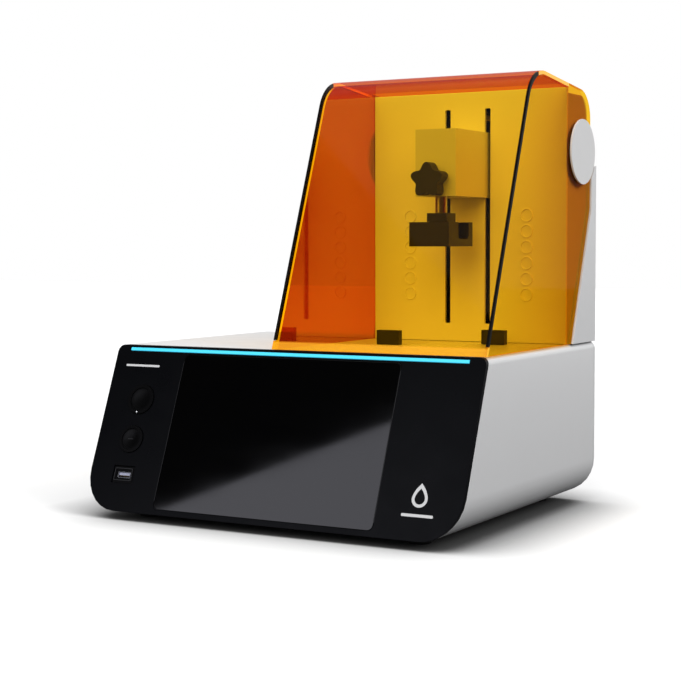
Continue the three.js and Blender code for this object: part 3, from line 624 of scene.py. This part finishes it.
def add_usb_details():
    """The socket's bright metal shell and its tongue with four contacts."""
    x, down = panel_place("usb_port")
    mouth = -1.5 * MM
    floor = -9 * MM
    shell = slab(oblong(12.2 * MM, 5.1 * MM, 0.5 * MM), floor, mouth, 0.1 * MM,
                 oblong(11.4 * MM, 4.3 * MM, 0.3 * MM))
    piece("usb_shell", shell, "steel", panel_matrix(x, down))
    tongue = slab(oblong(11.0 * MM, 2.4 * MM, 0.2 * MM), floor, mouth - 0.6 * MM, 0.2 * MM)
    piece("usb_tongue", tongue, "tongue_blue", panel_matrix(x, down - 0.7 * MM))
    contacts = bmesh.new()
    for k in range(4):
        across = (k - 1.5) * 2.3 * MM
        add_slab(contacts, oblong(1.2 * MM, 0.24 * MM, 0.05 * MM, across), floor, mouth - 0.9 * MM)
    piece("usb_contacts", contacts, "brass", panel_matrix(x, down + 0.65 * MM))


RING = {"outer": 5.7 * MM, "inner": 4.7 * MM, "high": 0.9 * MM, "count": 6,
        "from_screw": 54.7 * MM, "first": 40.6 * MM, "pitch": 13.4 * MM}


def add_plate_rings():
    """Two columns of shallow round bosses on the back plate, either side of the screw."""
    rings = bmesh.new()
    for side in (-1, 1):
        x = SCREW.x + side * RING["from_screw"]
        for k in range(RING["count"]):
            z = PLATE_LOW.z + RING["first"] + k * RING["pitch"]
            outer = disc(RING["outer"], 36, x, z)
            inner = disc(RING["inner"], 36, x, z)
            add_slab(rings, outer, 0.0, RING["high"], 0.2 * MM, inner)
    piece("plate_rings", rings, "white_plate", plate_matrix())


SCREW_HEAD = {"radius": 2.6 * MM, "high": 1.6 * MM, "rim": 0.2 * MM, "hexagon": 1.3 * MM}


def add_screw_head(made, x, y):
    """A round head with a bevelled rim and a very shallow raised hexagon."""
    top = SCREW_HEAD["high"]
    add_slab(made, disc(SCREW_HEAD["radius"], 24, x, y), 0.0, top, SCREW_HEAD["rim"])
    add_slab(made, disc(SCREW_HEAD["hexagon"], 6, x, y), top, top + 0.01 * MM)


def add_rear_screws():
    """Screws of the rear panel and of the column's rear cover, seen from behind."""
    screws = bmesh.new()
    half = (BODY_HIGH.x - BODY_LOW.x) / 2 - 9 * MM
    for x in (BODY_X - half, BODY_X + half):
        for z in (BODY_LOW.z + 34 * MM, DECK - 10 * MM):
            add_screw_head(screws, -x, z)
    cover_low, cover_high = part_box("column_rear_cover")
    for x in (cover_low.x + 8 * MM, cover_high.x - 8 * MM):
        for z in (cover_low.z + 10 * MM, cover_high.z - 14 * MM):
            add_screw_head(screws, -x, z)
    piece("rear_screws", screws, "steel", rear_matrix())


def add_inlet_pins():
    """Three flat pins in the mains inlet, the earth pin above the others."""
    low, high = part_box("power_inlet")
    middle = (low.x + high.x) / 2
    row = low.z + 14.5 * MM
    pins = bmesh.new()
    for x, z in ((-7 * MM, row), (7 * MM, row), (0.0, row + 4 * MM)):
        outline = oblong(2.0 * MM, 4.4 * MM, 0.4 * MM, -(middle + x), z)
        add_slab(pins, outline, -15.5 * MM, -3 * MM, 0.4 * MM)
    piece("inlet_pins", pins, "steel", rear_matrix())


add_usb_bezel()
add_marks()
add_button_details()
add_screen_lines()
add_usb_details()
add_plate_rings()
add_rear_screws()
add_inlet_pins()


# ---------------------------------------------------------------- floor, light and camera


FLOOR_HALF = 6.0
FLOOR_SEEN = (0.8, 0.8, 0.8)
FLOOR_CONTACT_SHADOW = (0.08, 0.08, 0.08)  # painted contact shadow, where ambient occlusion finds the printer close
CONTACT_REACH = 70 * MM
FLOOR_BOUNCE = (0.07, 0.07, 0.07)


def make_stage():
    """A plain floor. It lights the printer less than it looks, and has painted contact shadow where
    something stands on it.
    """
    mesh = bpy.data.meshes.new("floor")
    made = bmesh.new()
    bmesh.ops.create_grid(made, x_segments=1, y_segments=1, size=FLOOR_HALF)
    made.to_mesh(mesh)
    made.free()
    floor = bpy.data.objects.new("floor", mesh)
    bpy.context.scene.collection.objects.link(floor)
    paint, tree = new_material("studio_floor")
    output = shader(tree, "ShaderNodeOutputMaterial")
    seen = shader(tree, "ShaderNodeBsdfDiffuse")
    # Painted contact shadow: ambient occlusion darkens the floor's colour near the printer.
    openness = shader(tree, "ShaderNodeAmbientOcclusion", Distance=CONTACT_REACH).outputs["AO"]
    open_floor = spread(tree, openness, 0.0, 1.0, 0.3, 1.0)
    link(tree, blend_colours(tree, open_floor, FLOOR_CONTACT_SHADOW, FLOOR_SEEN), seen.inputs["Color"])
    bounced = shader(tree, "ShaderNodeBsdfDiffuse", Color=rgba(FLOOR_BOUNCE))
    path = shader(tree, "ShaderNodeLightPath")
    link(tree, mixed(tree, path.outputs["Is Camera Ray"], bounced, seen), output.inputs["Surface"])
    mesh.materials.append(paint)


def make_world():
    """White light, most of it from above. Mirrors see a dark room in front, so black stays black."""
    world = bpy.data.worlds.new("studio")
    bpy.context.scene.world = world
    world.use_nodes = True
    tree = world.node_tree
    tree.nodes.clear()
    output = shader(tree, "ShaderNodeOutputWorld")
    plain = shader(tree, "ShaderNodeBackground", Color=rgba(WHITE))
    seen = shader(tree, "ShaderNodeBackground", Color=rgba(WHITE), Strength=1.0)
    room = shader(tree, "ShaderNodeBackground", Color=rgba(WHITE))
    way = shader(tree, "ShaderNodeTexCoord").outputs["Generated"]
    parts = shader(tree, "ShaderNodeSeparateXYZ")
    link(tree, way, parts.inputs["Vector"])
    link(tree, spread(tree, parts.outputs["Z"], 0.3, 1.1, 0.0, 0.7), plain.inputs["Strength"])
    link(tree, spread(tree, parts.outputs["Y"], 0.008, 0.9, -0.3, 0.5), room.inputs["Strength"])
    path = shader(tree, "ShaderNodeLightPath")
    unseen = mixed(tree, path.outputs["Is Glossy Ray"], plain, room)
    link(tree, mixed(tree, path.outputs["Is Camera Ray"], unseen, seen), output.inputs["Surface"])


def soft_sun(name, way, strength, angle, mirrored=True):
    """A broad far light that shines from the direction way and is even over the whole floor."""
    lamp = bpy.data.lights.new(name, "SUN")
    lamp.energy = strength
    lamp.angle = math.radians(angle)
    lit = bpy.data.objects.new(name, lamp)
    bpy.context.scene.collection.objects.link(lit)
    lit.rotation_euler = Vector(way).to_track_quat("Z", "Y").to_euler()
    lit.visible_glossy = mirrored


# The lamp's upper edge, from the middle of the touchscreen, and how long and high it is.
SOFTBOX = {
    "left": Vector((-0.97, -1.052, 0.574)),
    "right": Vector((-0.63, -1.10, 0.81)),
    "size": (0.9, 0.6),
    "energy": 3.2,
    "colour": (0.9, 0.9, 1.0),
}


def softbox(name):
    """A lamp that only mirrors see. The touchscreen shows it over its lower right part."""
    long, high = SOFTBOX["size"]
    along = (SOFTBOX["right"] - SOFTBOX["left"]).normalized()
    upper = (SOFTBOX["left"] + SOFTBOX["right"]) / 2
    facing = -upper.normalized()
    down = facing.cross(along).normalized()
    lamp = bpy.data.lights.new(name, "AREA")
    lamp.shape = "RECTANGLE"
    lamp.size, lamp.size_y = long, high
    lamp.energy = SOFTBOX["energy"]
    lamp.color = SOFTBOX["colour"]
    lit = bpy.data.objects.new(name, lamp)
    bpy.context.scene.collection.objects.link(lit)
    turn = Matrix((along, facing.cross(-along), -facing)).transposed().to_4x4()
    place = centre("touchscreen_glass") + upper + down * high / 2
    lit.matrix_world = Matrix.Translation(place) @ turn
    lit.visible_diffuse = False
    lit.visible_camera = False


# Place in metres, angles in degrees, lens and sensor in millimetres.
CAMERA = {
    "place": Vector((0.6520, -1.1503, 0.2236)),
    "turn": 29.74,
    "tilt": 3.5,
    "roll": -0.15,
    "lens": 83.4,
    "sensor": 36,
}


def make_camera():
    turn, tilt = math.radians(CAMERA["turn"]), math.radians(CAMERA["tilt"])
    ahead = Vector((-math.sin(turn) * math.cos(tilt), math.cos(turn) * math.cos(tilt), -math.sin(tilt)))
    lens = bpy.data.cameras.new("camera")
    lens.lens = CAMERA["lens"]
    lens.sensor_width = CAMERA["sensor"]
    lens.clip_start = 0.05
    camera = bpy.data.objects.new("camera", lens)
    bpy.context.scene.collection.objects.link(camera)
    facing = ahead.to_track_quat("-Z", "Y").to_matrix().to_4x4()
    camera.matrix_world = (Matrix.Translation(CAMERA["place"]) @ facing
                           @ Matrix.Rotation(math.radians(CAMERA["roll"]), 4, "Z"))
    bpy.context.scene.camera = camera


make_stage()
make_world()
make_camera()
soft_sun("key", (0.25, -0.3, 0.92), 0.6, 100)
soft_sun("front_fill", (0.1, -1.0, 0.5), 1.1, 40, mirrored=False)
soft_sun("side_fill", (1.0, -0.1, 0.6), 1.45, 30, mirrored=False)
softbox("screen_light")
bpy.context.scene.view_settings.view_transform = "Standard"
